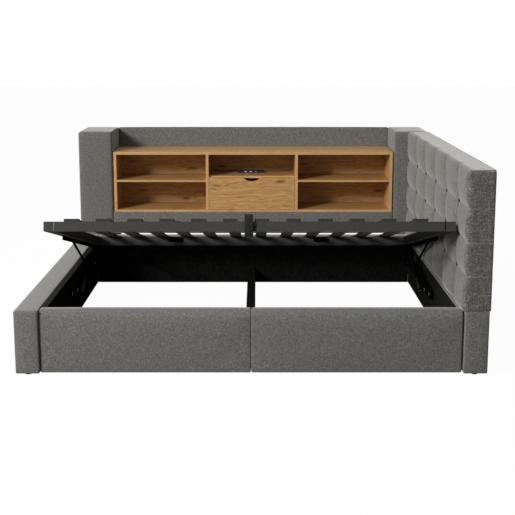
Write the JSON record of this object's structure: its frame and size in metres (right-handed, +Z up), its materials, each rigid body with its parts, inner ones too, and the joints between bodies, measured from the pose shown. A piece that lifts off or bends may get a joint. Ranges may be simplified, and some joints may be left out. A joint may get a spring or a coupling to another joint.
{
  "type": "upholstered storage bed",
  "caption": "Low upholstered bed with a tufted headboard on one long side, a bookcase with a drawer along the back and a slatted platform that lifts over open storage.",
  "frame": {"origin": "centre of the footprint, on the floor", "axes": "+X from the foot end towards the headboard, +Y from the front panels towards the bookcase, +Z up"},
  "size_m": [2.284, 2.502, 0.993],
  "materials": {
    "upholstery_fabric": "woven, matte",
    "black_lining": "matte film on board",
    "oak_board": "oak grain, satin",
    "pine_batten": "planed, matte",
    "gray_steel": "powder coat, matte",
    "black_steel": "powder coat, matte",
    "zinc_steel": "zinc plated",
    "bright_rod": "polished",
    "strut_paint": "satin",
    "slat_wood": "birch, black film beneath",
    "black_plastic": "moulded, matte",
    "port_face": "gloss",
    "webbing": "woven webbing"
  },
  "bodies": {
    "bed_base": {"foot_end_panel": "upholstery_fabric", "headboard_base": "upholstery_fabric", "headboard_panel": "upholstery_fabric", "headboard_buttons": "upholstery_fabric", "front_panel_left": "upholstery_fabric", "front_panel_right": "upholstery_fabric", "rear_rail": "upholstery_fabric", "lining_left": "black_lining", "lining_right": "black_lining", "lining_front": "black_lining", "lining_rear": "black_lining", "center_beam": "black_steel", "corner_brackets": "black_steel", "glides": "black_plastic", "post_left": "upholstery_fabric", "post_right": "upholstery_fabric", "backboard": "upholstery_fabric", "apron": "upholstery_fabric", "bookcase_bearers": "pine_batten", "bookcase_top": "oak_board", "bookcase_bottom": "oak_board", "bookcase_side_left": "oak_board", "bookcase_side_right": "oak_board", "divider_left": "oak_board", "divider_right": "oak_board", "shelf_left": "oak_board", "shelf_right": "oak_board", "shelf_center": "oak_board", "bookcase_back": "oak_board", "power_hub": "black_plastic", "power_hub_ports": "port_face", "drawer_runners_fixed": "zinc_steel", "base_plate_left": "black_steel", "base_plate_right": "black_steel"},
    "drawer": {"drawer_front": "oak_board", "drawer_side_left": "oak_board", "drawer_side_right": "oak_board", "drawer_back": "oak_board", "drawer_bottom": "oak_board", "drawer_runners_moving": "zinc_steel"},
    "platform": {"side_rail_left": "gray_steel", "side_rail_right": "gray_steel", "platform_front_rail": "gray_steel", "platform_cross_rail": "gray_steel", "platform_rear_rail": "gray_steel", "slats": "slat_wood", "slat_holders": "black_plastic", "pull_strap": "webbing", "strap_stud": "black_plastic", "rail_plug": "black_plastic", "joint_plates": "black_steel", "hinge_arm_left": "black_steel", "hinge_arm_right": "black_steel", "lift_bars": "black_steel"},
    "lower_link_left": {"lower_link_left": "black_steel"},
    "lower_link_right": {"lower_link_right": "black_steel"},
    "upper_link_left": {"upper_link_left": "black_steel"},
    "upper_link_right": {"upper_link_right": "black_steel"},
    "strut_rod_left": {"strut_rod_left": "bright_rod"},
    "strut_rod_right": {"strut_rod_right": "bright_rod"},
    "strut_cylinder_left": {"strut_cylinder_left": "strut_paint"},
    "strut_cylinder_right": {"strut_cylinder_right": "strut_paint"}
  },
  "joints": [
    {"name": "platform_lift", "type": "hinge", "parent": "bed_base", "child": "platform", "pos_m": [-0.0115, 0.647, 0.168], "axis": [-1, 0, 0], "range_deg": [-13, 17]},
    {"name": "drawer_slide", "type": "slide", "parent": "bed_base", "child": "drawer", "axis": [0, -1, 0], "range_m": [0, 0.25]},
    {"name": "lower_link_left_swing", "type": "hinge", "parent": "bed_base", "child": "lower_link_left", "pos_m": [-1.0205, -0.253, 0.168], "axis": [1, 0, 0], "range_deg": [-6.8, 8.9]},
    {"name": "upper_link_left_swing", "type": "hinge", "parent": "platform", "child": "upper_link_left", "pos_m": [-1.014, -0.24848, 0.47018], "axis": [1, 0, 0], "range_deg": [-8.9, 6.8]},
    {"name": "strut_rod_left_swing", "type": "hinge", "parent": "bed_base", "child": "strut_rod_left", "pos_m": [-0.9975, -0.0755, 0.1525], "axis": [1, 0, 0], "range_deg": [-4.6, 6]},
    {"name": "strut_cylinder_left_slide", "type": "slide", "parent": "strut_rod_left", "child": "strut_cylinder_left", "axis": [0, 0.9518, 0.3067], "range_m": [-0.048, 0.063]},
    {"name": "lower_link_right_swing", "type": "hinge", "parent": "bed_base", "child": "lower_link_right", "pos_m": [0.9975, -0.253, 0.168], "axis": [1, 0, 0], "range_deg": [-6.8, 8.9]},
    {"name": "upper_link_right_swing", "type": "hinge", "parent": "platform", "child": "upper_link_right", "pos_m": [0.991, -0.24848, 0.47018], "axis": [1, 0, 0], "range_deg": [-8.9, 6.8]},
    {"name": "strut_rod_right_swing", "type": "hinge", "parent": "bed_base", "child": "strut_rod_right", "pos_m": [0.9745, -0.0755, 0.1525], "axis": [1, 0, 0], "range_deg": [-4.6, 6]},
    {"name": "strut_cylinder_right_slide", "type": "slide", "parent": "strut_rod_right", "child": "strut_cylinder_right", "axis": [0, 0.9518, 0.3067], "range_m": [-0.048, 0.063]}
  ],
  "couplings": [
    {"joint": "lower_link_left_swing", "follows": "platform_lift", "ratio": 0.5139},
    {"joint": "upper_link_left_swing", "follows": "platform_lift", "ratio": -0.514},
    {"joint": "strut_rod_left_swing", "follows": "platform_lift", "ratio": 0.3424},
    {"joint": "strut_cylinder_left_slide", "follows": "platform_lift", "m_per_rad": 0.208},
    {"joint": "lower_link_right_swing", "follows": "platform_lift", "ratio": 0.5139},
    {"joint": "upper_link_right_swing", "follows": "platform_lift", "ratio": -0.514},
    {"joint": "strut_rod_right_swing", "follows": "platform_lift", "ratio": 0.3424},
    {"joint": "strut_cylinder_right_slide", "follows": "platform_lift", "m_per_rad": 0.208}
  ]
}
